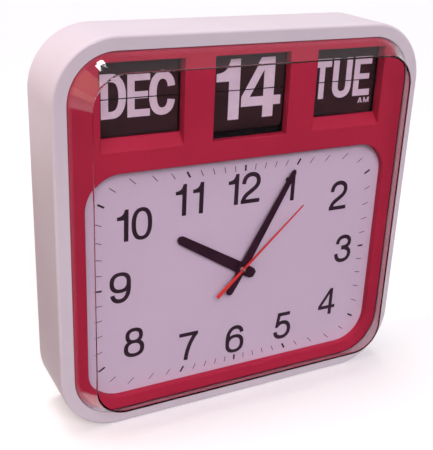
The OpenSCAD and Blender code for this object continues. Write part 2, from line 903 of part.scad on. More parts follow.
module battery_box() {
    color(frame_black) at_bay() difference() {
        slab(bay_front - bay_wall, cover_front)
            square([bay_w + 2 * bay_wall, bay_h + 2 * bay_wall], center = true);
        slab(bay_front, cover_front + over) square([bay_w, bay_h], center = true);
    }
}

module battery() {
    shoulder = battery_len / 2 - cell_nub;
    color(cell_grey) at_bay() {
        across(-battery_len / 2, shoulder) translate([cell_depth, 0]) circle(battery_d / 2);
        across(shoulder - join, battery_len / 2) translate([cell_depth, 0]) circle(battery_d / 8);
    }
}

// A flat spring at each end of the bay, with a boss that meets the cell
module battery_contacts() {
    color(brass) at_bay() for (s = [-1, 1]) {
        wall = s * (bay_w / 2 - contact_t / 2 - join);
        tip = s * (battery_len / 2 + join);
        translate([wall, 0, -cell_depth]) cube([contact_t, contact_w, battery_d * 0.7], center = true);
        across(min(wall, tip), max(wall, tip)) translate([cell_depth, 0]) circle(contact_r);
    }
}

module battery_door() {
    front = cover_back + fit_gap;
    back = front + door_t;
    color(case_white) at_bay() {
        slab(front, back) square([door_w, door_h], center = true);
        for (k = [-1, 0, 1]) translate([0, k * door_rib_pitch - door_h / 4])
            slab(back - join, back + door_rib_t) square([door_w / 3, door_rib_w], center = true);
    }
}

// Flip calendar

module calendar_frame() {
    x0 = module_x(MONTH) + left_cheek_x;
    x1 = module_x(DAY) + right_cheek_x + cheek_t;
    color(frame_black) face() difference() {
        union() {
            for (i = [MONTH, DATE, DAY], x = [left_cheek_x, right_cheek_x])
                across(module_x(i) + x, module_x(i) + x + cheek_t)
                    translate([cheek_front, split_y - cheek_half])
                        square([cheek_back - cheek_front, 2 * cheek_half]);
            for (s = [-1, 1]) across(x0, x1)
                translate([(tie_front + tie_back) / 2, split_y + s * (cheek_half - tie_t / 2)])
                    square([tie_back - tie_front, tie_t], center = true);
            for (sx = [-1, 1], sy = [-1, 1]) frame_lug(sx * lug_x, sy);
        }
        across(x0 - over, x1 + over) translate([drum_depth, split_y]) circle(shaft_r + pilot_gap / 2);
        across(x0 - over, x1 + over) translate([set_depth, split_y]) circle(set_axle_r + run_gap);
        on_lugs() disc_slab(lug_front - over, tie_back + over, screw_r + fit_gap);
    }
}

// Tab from a tie bar to the mask's post
module frame_lug(x, s) {
    far = split_y + s * cheek_half;
    near = split_y + s * (lug_y - lug_w / 2);
    slab(lug_front, lug_front + lug_t) translate([x - lug_w / 2, min(far, near)])
        square([lug_w, abs(far - near)]);
    slab(lug_front, tie_front + join) translate([x - lug_w / 2, far - (s > 0 ? tie_t : 0)])
        square([lug_w, tie_t]);
}

module frame_screws() {
    color(steel) face() on_lugs() screw(lug_front - lug_screw_len, lug_front + lug_t);
}

module drum_shaft() {
    x0 = module_x(MONTH) + left_cheek_x - shaft_end;
    x1 = module_x(DAY) + right_cheek_x + cheek_t + shaft_end;
    color(steel) face() across(x0, x1) translate([drum_depth, split_y]) circle(shaft_r);
}

// Drum coordinates: outline of depth and height about the drum's own axis, x from the window's middle
module in_drum(i, x0, x1) {
    face() across(module_x(i) + x0, module_x(i) + x1) translate([drum_depth, split_y]) children();
}

// Pivot place at an angle from the front, upwards, and a leaf's direction on the same scale
module on_pivot(i, at, dir) {
    translate([-pivot_r[i] * cos(at), pivot_r[i] * sin(at)]) rotate(90 - dir) children();
}

module drum_disc(i) {
    difference() {
        circle(pivot_r[i] + disc_rim);
        circle(shaft_r + run_gap);
        for (k = [0:leaf_count[i] - 1])
            on_pivot(i, (k + 0.5) * leaf_step(i), 0) circle(pin_r + run_gap, $fn = 24);
    }
}

module drum_core() {
    difference() {
        circle(core_r);
        circle(shaft_r + run_gap);
    }
}

module drum_left(i) {
    color(frame_black) {
        in_drum(i, -gear_x, -disc_x) drum_disc(i);
        in_drum(i, -disc_x, 0) drum_core();
    }
}

module drum_right(i) {
    color(frame_black) {
        in_drum(i, 0, disc_x) drum_core();
        in_drum(i, disc_x, gear_x) drum_disc(i);
        in_drum(i, gear_x, gear_x + calendar_gear_t) difference() {
            polygon(gear_points(gear_teeth[i], calendar_gear_r, 0));
            circle(shaft_r + run_gap);
        }
    }
}

// One leaf with its two pins
module leaf(i, at, dir) {
    in_drum(i, -leaf_w / 2, leaf_w / 2) on_pivot(i, at, dir)
        translate([-leaf_t / 2, -leaf_root(i)]) square([leaf_t, leaf_len(i) + leaf_root(i)]);
    for (s = [-1, 1]) {
        edge = s * leaf_w / 2;
        tab = edge + s * tab_len;
        pin = edge + s * tab_len / 2;
        end = s * (disc_x + disc_t * 0.8);
        in_drum(i, min(edge, tab), max(edge, tab)) on_pivot(i, at, dir)
            square([leaf_t, tab_w], center = true);
        in_drum(i, min(pin, end), max(pin, end)) on_pivot(i, at, dir) circle(pin_r, $fn = 24);
    }
}

// Leaves behind the two that show: those still to come lean back, those past hang down
module leaf_pack(i) {
    step = leaf_step(i);
    coming = ceil(leaf_count[i] / 2);
    past = floor(leaf_count[i] / 2);
    color(leaf_black) {
        for (k = [1:coming - 1]) leaf(i, step / 2 + k * step, 90 + k * step);
        for (k = [1:past - 1]) leaf(i, -step / 2 - k * step, -90);
    }
}

module lower_leaf(i) {
    color(leaf_black) leaf(i, -leaf_step(i) / 2, -90);
}

module flip_leaf(i) {
    color(leaf_black) leaf(i, leaf_step(i) / 2, 90);
}

// Spring strip from the tie bar over the edge of the upper leaf
module leaf_finger(i) {
    under = split_y + cheek_half - tie_t;
    front = leaf_front(i) - finger_stand;
    tip = split_y + leaf_half + finger_gap;
    color(steel) face() across(module_x(i) - finger_w / 2, module_x(i) + finger_w / 2) {
        translate([front, under - finger_t]) square([tie_back - front, finger_t]);
        translate([front, tip]) square([finger_t, under - tip]);
        translate([front, tip]) square([leaf_front(i) + leaf_t - front, finger_t]);
    }
}

module set_wheel(i) {
    color(gear_white) face() {
        across(module_x(i) + gear_x + fit_gap, module_x(i) + right_cheek_x - fit_gap)
            translate([set_depth, split_y])
                polygon(gear_points(gear_teeth[i], calendar_gear_r, 180 + 180 / gear_teeth[i]));
        across(module_x(i) + gear_x + fit_gap, module_x(i) + thumb_x + thumb_t)
            translate([set_depth, split_y]) circle(set_axle_r);
        across(module_x(i) + thumb_x, module_x(i) + thumb_x + thumb_t)
            translate([set_depth, split_y]) difference() {
                circle(thumb_r);
                for (k = [0:thumb_grip_count - 1])
                    translate(polar(thumb_r, 360 * k / thumb_grip_count)) circle(thumb_grip_r, $fn = 16);
            }
    }
}

// Trip slide

function slide_front() = cam_depth;
function slide_back() = slide_front() + slide_t;

module on_guides() {
    for (y = guide_ys) translate([slide_x, y]) children();
}

module trip_slide() {
    foot_y = dial_y + calendar_at[1] + cam_r - cam_lift + slide_gap;
    foot_h = 5;
    limb_low = dial_y + guide_ys[0] - slide_lift - 3 * guide_r;
    gear_mid = module_x(DAY) + gear_x + calendar_gear_t / 2;
    pawl_top = split_y - calendar_gear_r;
    color(steel) face() {
        slab(slide_front(), slide_back()) difference() {
            union() {
                translate([slide_x - slide_w / 2, limb_low]) square([slide_w, slide_arm_y + join - limb_low]);
                translate([slide_x, foot_y]) square([cam_r - slide_x, foot_h]);
                translate([slide_x - slide_w / 2, slide_arm_y])
                    square([gear_mid + pawl_t - slide_x + slide_w / 2, slide_arm_h]);
            }
            translate([0, dial_y]) on_guides() {
                square([2 * (guide_r + fit_gap), 2 * slide_lift], center = true);
                for (s = [-1, 1]) translate([0, s * slide_lift]) circle(guide_r + fit_gap);
            }
        }
        across(gear_mid - pawl_t / 2, gear_mid + pawl_t / 2) {
            translate([pawl_front, slide_arm_y]) square([slide_back() - pawl_front, slide_arm_h]);
            translate([pawl_front, slide_arm_y]) square([pawl_t, pawl_top - slide_arm_y]);
        }
    }
}

case_shell();
rear_cover();
rear_cover_screws();
clear_lens();
front_mask();
mask_screws();
dial_plate();
dial_screws();
hour_hand();
minute_hand();
second_hand();
movement_housing();
movement_cover();
movement_screws();
circuit_board();
drive_coil();
stator();
rotor();
fifth_wheel();
second_wheel();
third_wheel();
minute_wheel();
motion_wheel();
hour_wheel();
calendar_wheel();
set_knob();
battery_box();
battery();
battery_contacts();
battery_door();
calendar_frame();
frame_screws();
drum_shaft();
trip_slide();
drum_left(MONTH);  // month_drum_left
drum_left(DATE);  // date_drum_left
drum_left(DAY);  // day_drum_left
drum_right(MONTH);  // month_drum_right
drum_right(DATE);  // date_drum_right
drum_right(DAY);  // day_drum_right
leaf_pack(MONTH);  // month_leaf_pack
leaf_pack(DATE);  // date_leaf_pack
leaf_pack(DAY);  // day_leaf_pack
lower_leaf(MONTH);  // month_lower_leaf
lower_leaf(DATE);  // date_lower_leaf
lower_leaf(DAY);  // day_lower_leaf
flip_leaf(MONTH);  // month_flip_leaf
flip_leaf(DATE);  // date_flip_leaf
flip_leaf(DAY);  // day_flip_leaf
leaf_finger(MONTH);  // month_leaf_finger
leaf_finger(DATE);  // date_leaf_finger
leaf_finger(DAY);  // day_leaf_finger
set_wheel(MONTH);  // month_set_wheel
set_wheel(DATE);  // date_set_wheel
set_wheel(DAY);  // day_set_wheel
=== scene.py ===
# %% [markdown]
# A square quartz wall clock with a flip calendar. The frame brings every solid piece in metres, so this
# lesson only dresses it: finishes for each piece, the printing on the dial and on the calendar leaves, a
# pin at the centre of the hands, and a studio with its lamps. We load the frame first and keep its box.

# %% Load the frame
import json
import math

import bmesh
import bpy
from mathutils import Euler, Matrix, Vector
from mathutils.geometry import delaunay_2d_cdt


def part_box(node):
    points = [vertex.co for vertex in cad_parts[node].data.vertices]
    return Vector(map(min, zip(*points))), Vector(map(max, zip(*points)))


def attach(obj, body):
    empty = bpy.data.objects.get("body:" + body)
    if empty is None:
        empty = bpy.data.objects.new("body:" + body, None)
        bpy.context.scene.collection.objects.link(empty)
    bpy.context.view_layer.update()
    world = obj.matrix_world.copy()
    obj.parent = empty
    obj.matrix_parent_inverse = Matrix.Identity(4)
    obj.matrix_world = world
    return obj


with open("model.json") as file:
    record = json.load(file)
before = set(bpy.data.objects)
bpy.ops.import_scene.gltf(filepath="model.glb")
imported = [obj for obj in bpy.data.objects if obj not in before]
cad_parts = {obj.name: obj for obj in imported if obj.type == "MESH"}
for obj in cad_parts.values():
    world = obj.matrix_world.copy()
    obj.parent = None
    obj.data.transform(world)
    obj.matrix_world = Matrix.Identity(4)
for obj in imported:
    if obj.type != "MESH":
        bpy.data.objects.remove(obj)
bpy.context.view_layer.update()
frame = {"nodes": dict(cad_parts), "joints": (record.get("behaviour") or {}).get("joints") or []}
nodes = frame["nodes"]
MM = 0.001

# %% [markdown]
# The camera comes next, because it decides what shows. The straight edges of the case gave its place: above
# and to the left of the clock, a little tilted. The focal length is in pixels of a 450 pixel frame, and
# a camera with a 36 mm sensor needs it as millimetres.

# %% Camera
FOCAL_PX = 824.77
FRAME_PX = 450
SENSOR_MM = 36.0
CAMERA_AT = (-0.3754, -0.6649, 0.4970)
CAMERA_TURN = (67.515, -2.264, -27.174)
camera_data = bpy.data.cameras.new("clock_camera")
camera_data.sensor_width = SENSOR_MM
camera_data.lens = FOCAL_PX / FRAME_PX * SENSOR_MM
camera = bpy.data.objects.new("clock_camera", camera_data)
camera.location = CAMERA_AT
camera.rotation_euler = Euler([math.radians(a) for a in CAMERA_TURN])
bpy.context.scene.collection.objects.link(camera)
bpy.context.scene.camera = camera
print("lens", round(camera_data.lens, 2), "mm")

# %% [markdown]
# The places that the printing needs are read from the frame itself: the middle of the dial is the pin that
# the hands turn on, and the split line of the calendar is the shaft of its drums. A leaf's pins are thicker
# than its sheet and lie in its middle, so its face is half a sheet in front of the middle of its box.

# %% Places on the clock
joint_at = {j["name"]: Vector(j["pos_m"]) for j in frame["joints"] if "pos_m" in j}
dial_middle = joint_at["hour_hand_turn"]
dial_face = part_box("dial_plate")[0].y
drum_axis = {m: joint_at[m + "_drum_turn"] for m in ("month", "date", "day")}
leaf_thick = 0.2 * MM
leaf_face = {m: sum(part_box(m + "_flip_leaf"), Vector()).y / 2 - leaf_thick / 2 for m in drum_axis}
print("leaf faces", {m: round(y / MM, 3) for m, y in leaf_face.items()})

# %% [markdown]
# Every finish is a small node tree. Colours are written as sRGB hex values, the way a paint card gives
# them, and one function turns them to linear. One more function adds a node with its settings and links,
# and the last three hold what most finishes share: two tones, one shader, or two shaders that are mixed.

# %% Helpers for finishes


def linear(hex_colour):
    """sRGB hex to the linear colour that the shaders use."""
    parts = [int(hex_colour[i:i + 2], 16) / 255 for i in (1, 3, 5)]
    return [c / 12.92 if c <= 0.04045 else ((c + 0.055) / 1.055) ** 2.4 for c in parts] + [1.0]


def add(tree, kind, sockets=None, **settings):
    """Adds a node, sets its properties, and fills or links its sockets."""
    node = tree.nodes.new(kind)
    for name, value in settings.items():
        setattr(node, name, value)
    for name, value in (sockets or {}).items():
        if isinstance(value, bpy.types.NodeSocket):
            tree.links.new(value, node.inputs[name])
        else:
            node.inputs[name].default_value = value
    return node


def fresh(name):
    """An empty material: its node tree, its output and the object coordinates in metres."""
    material = bpy.data.materials.new(name)
    material.use_nodes = True
    tree = material.node_tree
    tree.nodes.clear()
    output = add(tree, "ShaderNodeOutputMaterial")
    place = add(tree, "ShaderNodeTexCoord").outputs["Object"]
    return material, tree, output, place


def per_mm(size_mm):
    """Noise scale in object metres for a pattern whose features are size_mm wide."""
    return 1.0 / (size_mm * MM)


def two_tones(tree, pattern, dark, light, low=0.3, high=0.7):
    """A ramp from a dark to a light tone while the pattern goes from low to high."""
    tone = add(tree, "ShaderNodeValToRGB", {"Fac": pattern})
    for element, position, colour in zip(tone.color_ramp.elements, (low, high), (dark, light)):
        element.position = position
        element.color = linear(colour)
    return tone


def coat(tree, output, sockets):
    """One Principled shader as the whole surface."""
    shader = add(tree, "ShaderNodeBsdfPrincipled", sockets)
    tree.links.new(shader.outputs["BSDF"], output.inputs["Surface"])


def mixed_coat(tree, output, share, plain, other):
    """Two shaders as the surface: the plain one at a share of 0, the other at 1."""
    mix = add(tree, "ShaderNodeMixShader", {
        "Fac": share, 1: plain.outputs["BSDF"], 2: other.outputs["BSDF"]})
    tree.links.new(mix.outputs["Shader"], output.inputs["Surface"])


# %% [markdown]
# The case, the rear cover and the battery door are ABS, injection moulded in a spark-eroded tool. That
# gives the eye a white with a fine grain, soft highlights, and slow changes of tone where the plastic has
# aged. The real grain is about 0.2 mm, too fine for the render, so it is drawn at 0.7 mm. A rounded normal
# of 0.5 mm catches the light on every moulded edge.

# %% White ABS
white_abs, tree, output, place = fresh("moulded_white_abs")
aging = add(tree, "ShaderNodeTexNoise", {"Vector": place, "Scale": per_mm(160), "Detail": 4.0})
tone = two_tones(tree, aging.outputs["Fac"], "#E1D6E0", "#EAE2EB")
grain = add(tree, "ShaderNodeTexNoise", {"Vector": place, "Scale": per_mm(0.7), "Detail": 2.0})
gloss = add(tree, "ShaderNodeMapRange", {"Value": grain.outputs["Fac"], "To Min": 0.36, "To Max": 0.5})
edge = add(tree, "ShaderNodeBevel", {"Radius": 0.5 * MM}, samples=4)
bump = add(tree, "ShaderNodeBump", {
    "Height": grain.outputs["Fac"], "Strength": 0.12, "Distance": 0.1 * MM,
    "Normal": edge.outputs["Normal"]})
coat(tree, output, {
    "Base Color": tone.outputs["Color"], "Roughness": gloss.outputs["Result"], "IOR": 1.53,
    "Normal": bump.outputs["Normal"]})
print("made", white_abs.name)

# %% [markdown]
# The lens is clear acrylic, drawn over a polished form, so it bends light at its leaning walls and mirrors
# the lamps along its rounded edge. A glass shader alone would stop the lamps from reaching the dial, so
# rays that look for a lamp meet a Transparent shader in its place.

# %% Clear acrylic
clear_acrylic, tree, output, place = fresh("polished_clear_acrylic")
ripple = add(tree, "ShaderNodeTexNoise", {"Vector": place, "Scale": per_mm(45), "Detail": 1.0})
bump = add(tree, "ShaderNodeBump", {
    "Height": ripple.outputs["Fac"], "Strength": 0.05, "Distance": 0.6 * MM})
bend = add(tree, "ShaderNodeBsdfPrincipled", {
    "Base Color": linear("#FBF9FA"), "Roughness": 0.015, "IOR": 1.49, "Transmission Weight": 1.0,
    "Normal": bump.outputs["Normal"]})
pane = add(tree, "ShaderNodeBsdfTransparent", {"Color": linear("#EEEAED")})
rays = add(tree, "ShaderNodeLightPath")
mixed_coat(tree, output, rays.outputs["Is Shadow Ray"], bend, pane)
print("made", clear_acrylic.name)

# %% [markdown]
# The front mask is polystyrene, moulded in red with a satin tool finish. Its walls face many ways, so a low
# gloss and a well rounded edge of 1.8 mm do most of the work; a slow noise moves the red a little, as
# pigment streaks do.

# %% Red polystyrene
red_mask, tree, output, place = fresh("moulded_red_polystyrene")
streak = add(tree, "ShaderNodeTexNoise", {"Vector": place, "Scale": per_mm(60), "Detail": 3.0})
tone = two_tones(tree, streak.outputs["Fac"], "#B0193C", "#B81D40")
grain = add(tree, "ShaderNodeTexNoise", {"Vector": place, "Scale": per_mm(0.6), "Detail": 2.0})
gloss = add(tree, "ShaderNodeMapRange", {"Value": grain.outputs["Fac"], "To Min": 0.56, "To Max": 0.68})
edge = add(tree, "ShaderNodeBevel", {"Radius": 1.8 * MM}, samples=8)
bump = add(tree, "ShaderNodeBump", {
    "Height": grain.outputs["Fac"], "Strength": 0.1, "Distance": 0.1 * MM,
    "Normal": edge.outputs["Normal"]})
coat(tree, output, {
    "Base Color": tone.outputs["Color"], "Roughness": gloss.outputs["Result"], "IOR": 1.55,
    "Specular IOR Level": 0.3, "Normal": bump.outputs["Normal"]})
print("made", red_mask.name)

# %% [markdown]
# The dial is a lacquered sheet: a matt pale ground with the faint tooth of a silk-screened coat. The tooth
# is drawn at 0.9 mm, coarser than the real 0.1 mm weave of a screen, so that it can show at all.

# %% Lacquered dial
dial_lacquer, tree, output, place = fresh("silk_screened_dial_lacquer")
wash = add(tree, "ShaderNodeTexNoise", {"Vector": place, "Scale": per_mm(90), "Detail": 3.0})
tone = two_tones(tree, wash.outputs["Fac"], "#CFC3D4", "#D4C7D9")
tooth = add(tree, "ShaderNodeTexNoise", {"Vector": place, "Scale": per_mm(0.9), "Detail": 2.0})
bump = add(tree, "ShaderNodeBump", {
    "Height": tooth.outputs["Fac"], "Strength": 0.08, "Distance": 0.05 * MM})
coat(tree, output, {
    "Base Color": tone.outputs["Color"], "Roughness": 0.62, "IOR": 1.48, "Normal": bump.outputs["Normal"]})
print("made", dial_lacquer.name)

# %% [markdown]
# Paints, inks, plain plastics and metals differ in colour, gloss and grain only, so one table holds them:
# two tones between which a noise moves the colour, the width of that noise, roughness, metal, refraction,
# and the size and height of the grain. The table names what each one really is. The paints and plastics are
# matted, so their shine is held low.

# %% Table of plain finishes
# name: dark tone, light tone, noise in mm, roughness, metallic, IOR, grain in mm, bump strength
PLAIN = {
    "sprayed_black_enamel": ("#2E1726", "#361B2D", 14, 0.34, 0.0, 1.50, 0.8, 0.06),
    "sprayed_red_enamel": ("#D5323A", "#E04038", 14, 0.36, 0.0, 1.50, 0.8, 0.06),
    "black_pvc_leaf": ("#2F1A1E", "#382125", 22, 0.44, 0.0, 1.53, 0.6, 0.10),
    "screened_lilac_ink": ("#DECEDC", "#E4D6E3", 8, 0.60, 0.0, 1.48, 0.5, 0.10),
    "screened_dark_ink": ("#2A1626", "#301B2C", 8, 0.55, 0.0, 1.48, 0.5, 0.10),
    "moulded_black_abs": ("#1D1A1B", "#272324", 30, 0.46, 0.0, 1.53, 0.6, 0.14),
    "natural_acetal": ("#E2DCCB", "#EBE6D8", 12, 0.40, 0.0, 1.48, 0.5, 0.06),
    "zinc_plated_steel": ("#B2B4B8", "#CFD1D4", 5, 0.30, 1.0, 1.50, 0.4, 0.10),
    "sprung_brass": ("#B8934A", "#CFAE66", 6, 0.28, 1.0, 1.50, 0.4, 0.08),
    "turned_nickel_pin": ("#9A9296", "#B4ACB0", 2, 0.32, 1.0, 1.50, 0.3, 0.05),
}
ROUGH_SWING = 0.06
finish = {}
for name, (dark, light, noise_mm, rough, metal, ior, grain_mm, strength) in PLAIN.items():
    finish[name], tree, output, place = fresh(name)
    shift = add(tree, "ShaderNodeTexNoise", {"Vector": place, "Scale": per_mm(noise_mm), "Detail": 3.0})
    tone = two_tones(tree, shift.outputs["Fac"], dark, light, 0.35, 0.65)
    grain = add(tree, "ShaderNodeTexNoise", {"Vector": place, "Scale": per_mm(grain_mm), "Detail": 2.0})
    gloss = add(tree, "ShaderNodeMapRange", {
        "Value": grain.outputs["Fac"], "To Min": rough - ROUGH_SWING, "To Max": rough + ROUGH_SWING})
    bump = add(tree, "ShaderNodeBump", {
        "Height": grain.outputs["Fac"], "Strength": strength, "Distance": 0.08 * MM})
    coat(tree, output, {
        "Base Color": tone.outputs["Color"], "Roughness": gloss.outputs["Result"], "Metallic": metal,
        "IOR": ior, "Specular IOR Level": 0.3, "Normal": bump.outputs["Normal"]})
print("made", len(finish), "plain finishes")

# %% [markdown]
# Three finishes carry a pattern of their own. The coil is enamelled copper wire wound side by side, so a
# wave runs along it: real wire is 0.05 mm, drawn at 0.5 mm. The circuit board has pale tracks under a green
# solder mask, and the cell has a printed jacket with a plain gold band at its positive end.

# %% Wound copper, circuit board and cell jacket
WIRE_MM = 0.5
WAVE_SCALE = 20
CELL_HALF = 25 * MM
finish["wound_copper"], tree, output, place = fresh("wound_copper")
turns = add(tree, "ShaderNodeTexWave", {
    "Vector": place, "Scale": per_mm(WIRE_MM) / WAVE_SCALE, "Distortion": 0.4}, bands_direction="X")
tone = two_tones(tree, turns.outputs["Fac"], "#7A3A1C", "#C4713C", 0.0, 1.0)
bump = add(tree, "ShaderNodeBump", {
    "Height": turns.outputs["Fac"], "Strength": 0.5, "Distance": 0.1 * MM})
coat(tree, output, {
    "Base Color": tone.outputs["Color"], "Roughness": 0.3, "Metallic": 0.9,
    "Normal": bump.outputs["Normal"]})

finish["green_solder_mask"], tree, output, place = fresh("green_solder_mask")
cells = add(tree, "ShaderNodeTexVoronoi", {"Vector": place, "Scale": per_mm(6)}, distance="MANHATTAN")
tone = two_tones(tree, cells.outputs["Distance"], "#3B7A52", "#1E4A31", 0.0, 0.25)
tone.color_ramp.interpolation = "CONSTANT"
coat(tree, output, {"Base Color": tone.outputs["Color"], "Roughness": 0.35})

finish["printed_cell_jacket"], tree, output, place = fresh("printed_cell_jacket")
along = add(tree, "ShaderNodeSeparateXYZ", {"Vector": place})
share = add(tree, "ShaderNodeMapRange", {
    "Value": along.outputs["X"], "From Min": -CELL_HALF, "From Max": CELL_HALF})
tone = two_tones(tree, share.outputs["Result"], "#3A4150", "#B08A4A", 0.0, 0.72)
tone.color_ramp.interpolation = "CONSTANT"
coat(tree, output, {"Base Color": tone.outputs["Color"], "Roughness": 0.3, "Metallic": 0.4})
print("made", len(finish), "finishes in all")

# %% [markdown]
# Each solid now takes its finish. The frame's own objects are kept, because their shapes are right: they
# only get a material, smooth faces with sharp edges where the solid turns by more than 30 degrees, and a
# weighted normal that keeps large flats flat beside a rounded edge.

# %% Dress the solids
SHARP_TURN = math.radians(30)
WEAR = {
    white_abs: ["case_shell", "rear_cover", "battery_door"],
    clear_acrylic: ["clear_lens"],
    red_mask: ["front_mask"],
    dial_lacquer: ["dial_plate"],
    finish["sprayed_black_enamel"]: ["hour_hand", "minute_hand"],
    finish["sprayed_red_enamel"]: ["second_hand"],
    finish["black_pvc_leaf"]: [],
    finish["moulded_black_abs"]: ["movement_housing", "movement_cover", "battery_box", "calendar_frame"],
    finish["zinc_plated_steel"]: ["rear_cover_screws", "mask_screws", "dial_screws", "movement_screws",
                                  "frame_screws", "stator", "rotor", "drum_shaft", "trip_slide"],
    finish["natural_acetal"]: ["fifth_wheel", "second_wheel", "third_wheel", "minute_wheel", "motion_wheel",
                               "hour_wheel", "calendar_wheel", "set_knob"],
    finish["green_solder_mask"]: ["circuit_board"],
    finish["wound_copper"]: ["drive_coil"],
    finish["sprung_brass"]: ["battery_contacts"],
    finish["printed_cell_jacket"]: ["battery"],
}
for m in drum_axis:
    WEAR[finish["moulded_black_abs"]] += [m + "_drum_left", m + "_drum_right"]
    WEAR[finish["black_pvc_leaf"]] += [m + "_leaf_pack", m + "_lower_leaf", m + "_flip_leaf"]
    WEAR[finish["zinc_plated_steel"]] += [m + "_leaf_finger"]
    WEAR[finish["natural_acetal"]] += [m + "_set_wheel"]
for material, names in WEAR.items():
    for name in names:
        solid = nodes[name]
        solid.data.materials.clear()
        solid.data.materials.append(material)
        solid.data.shade_smooth()
        solid.data.set_sharp_from_angle(angle=SHARP_TURN)
        weigh = solid.modifiers.new("weighted_normals", "WEIGHTED_NORMAL")
        weigh.keep_sharp = True
print("dressed", sum(len(names) for names in WEAR.values()), "solids")

# %% [markdown]
# The printing is drawn from scratch, as a sign writer would: shapes of ink laid over each other, with bare
# shapes cut back out. Each shape is a closed outline, with the height of a capital as 1. A stroke is a pen
# of fixed width along a curve, and a bowl is a slightly square ellipse, as in plain grotesque lettering.

# %% Pens and bowls


def curve(*arcs, steps=10):
    """Points along cubic arcs, each given by four control points."""
    points = []
    for a, b, c, d in arcs:
        for i in range(steps + 1):
            if points and i == 0:
                continue
            t = i / steps
            w = ((1 - t) ** 3, 3 * t * (1 - t) ** 2, 3 * t * t * (1 - t), t ** 3)
            points.append(tuple(w[0] * a[k] + w[1] * b[k] + w[2] * c[k] + w[3] * d[k] for k in (0, 1)))
    return points


def line(start, end):
    """A straight arc, for curves that have one."""
    return start, start, end, end


def stroke(points, width):
    """Outline of a pen of that width along the points, with square ends."""
    left, right = [], []
    for i, p in enumerate(points):
        q, r = points[max(i - 1, 0)], points[min(i + 1, len(points) - 1)]
        along = Vector((r[0] - q[0], r[1] - q[1])).normalized() * width / 2
        left.append((p[0] - along.y, p[1] + along.x))
        right.append((p[0] + along.y, p[1] - along.x))
    return left + right[::-1]


def bowl(cx, cy, rx, ry, square=2.35, count=56):
    """A closed curve a little squarer than an ellipse."""
    points = []
    for i in range(count):
        c, s = math.cos(2 * math.pi * i / count), math.sin(2 * math.pi * i / count)
        points.append((cx + rx * math.copysign(abs(c) ** (2 / square), c),
                       cy + ry * math.copysign(abs(s) ** (2 / square), s)))
    return points


def bar(x0, y0, x1, y1):
    """An upright rectangle between two corners."""
    return [(x0, y0), (x1, y0), (x1, y1), (x0, y1)]


# %% [markdown]
# The dial's numerals are a regular weight: a pen of an eighth of the height. A nine is a six turned round.

# %% Numerals for the dial
PEN = 0.125
SIX_WIDE = 0.69
six = [
    (True, bowl(0.345, 0.325, 0.335, 0.335)),
    (False, bowl(0.345, 0.325, 0.215, 0.232)),
    (True, stroke(curve(((0.60, 0.735), (0.575, 0.875), (0.485, 0.945), (0.365, 0.945)),
                        ((0.365, 0.945), (0.165, 0.945), (0.068, 0.77), (0.068, 0.47)),
                        ((0.068, 0.47), (0.068, 0.42), (0.069, 0.37), (0.075, 0.33))), PEN * 0.97)),
]
DIGITS = {
    "0": [(True, bowl(0.32, 0.5, 0.32, 0.51)), (False, bowl(0.32, 0.5, 0.2, 0.405))],
    "1": [(True, curve(line((0.0, 0.69), (0.0, 0.785)),
                       ((0.0, 0.785), (0.13, 0.79), (0.215, 0.84), (0.245, 1.0)),
                       line((0.245, 1.0), (0.345, 1.0)), steps=6)
          + [(0.345, 0.0), (0.22, 0.0), (0.22, 0.69)])],
    "2": [(True, stroke(curve(((0.075, 0.655), (0.085, 0.85), (0.19, 0.947), (0.345, 0.947)),
                              ((0.345, 0.947), (0.50, 0.947), (0.60, 0.855), (0.60, 0.71)),
                              ((0.60, 0.71), (0.60, 0.565), (0.50, 0.485), (0.33, 0.38)),
                              ((0.33, 0.38), (0.19, 0.295), (0.09, 0.215), (0.075, 0.06))), PEN)),
          (True, bar(0.005, 0.0, 0.66, 0.115))],
    "3": [(True, stroke(curve(((0.082, 0.70), (0.09, 0.86), (0.18, 0.947), (0.33, 0.947)),
                              ((0.33, 0.947), (0.48, 0.947), (0.575, 0.865), (0.575, 0.745)),
                              ((0.575, 0.745), (0.575, 0.615), (0.48, 0.548), (0.265, 0.548))), PEN * 0.96)),
          (True, stroke(curve(((0.265, 0.532), (0.49, 0.532), (0.60, 0.44), (0.60, 0.30)),
                              ((0.60, 0.30), (0.60, 0.15), (0.49, 0.053), (0.33, 0.053)),
                              ((0.33, 0.053), (0.165, 0.053), (0.068, 0.15), (0.062, 0.32))), PEN * 0.96))],
    "4": [(True, [(0.0, 0.235), (0.0, 0.35), (0.44, 1.0), (0.545, 1.0), (0.545, 0.235)]),
          (False, [(0.11, 0.345), (0.43, 0.345), (0.43, 0.81)]),
          (True, bar(0.43, 0.0, 0.545, 0.3)), (True, bar(0.5, 0.235, 0.675, 0.345))],
    "5": [(True, bar(0.13, 0.885, 0.60, 1.0)),
          (True, [(0.13, 1.0), (0.055, 0.46), (0.16, 0.455), (0.235, 0.95)]),
          (True, stroke(curve(((0.108, 0.49), (0.155, 0.575), (0.24, 0.625), (0.335, 0.625)),
                              ((0.335, 0.625), (0.50, 0.625), (0.60, 0.51), (0.60, 0.345)),
                              ((0.60, 0.345), (0.60, 0.165), (0.49, 0.053), (0.325, 0.053)),
                              ((0.325, 0.053), (0.165, 0.053), (0.07, 0.14), (0.062, 0.275))), PEN * 0.98))],
    "6": six,
    "7": [(True, bar(0.0, 0.885, 0.655, 1.0)),
          (True, stroke(curve(((0.595, 0.94), (0.42, 0.72), (0.275, 0.40), (0.245, 0.0))), PEN))],
    "8": [(True, bowl(0.34, 0.745, 0.285, 0.265)), (True, bowl(0.34, 0.285, 0.335, 0.295)),
          (False, bowl(0.34, 0.742, 0.172, 0.162)), (False, bowl(0.34, 0.288, 0.212, 0.19))],
    "9": [(ink, [(SIX_WIDE - x, 1.0 - y) for x, y in shape]) for ink, shape in six],
}
DIGIT_WIDTH = {d: max(x for _, shape in DIGITS[d] for x, _ in shape) for d in DIGITS}
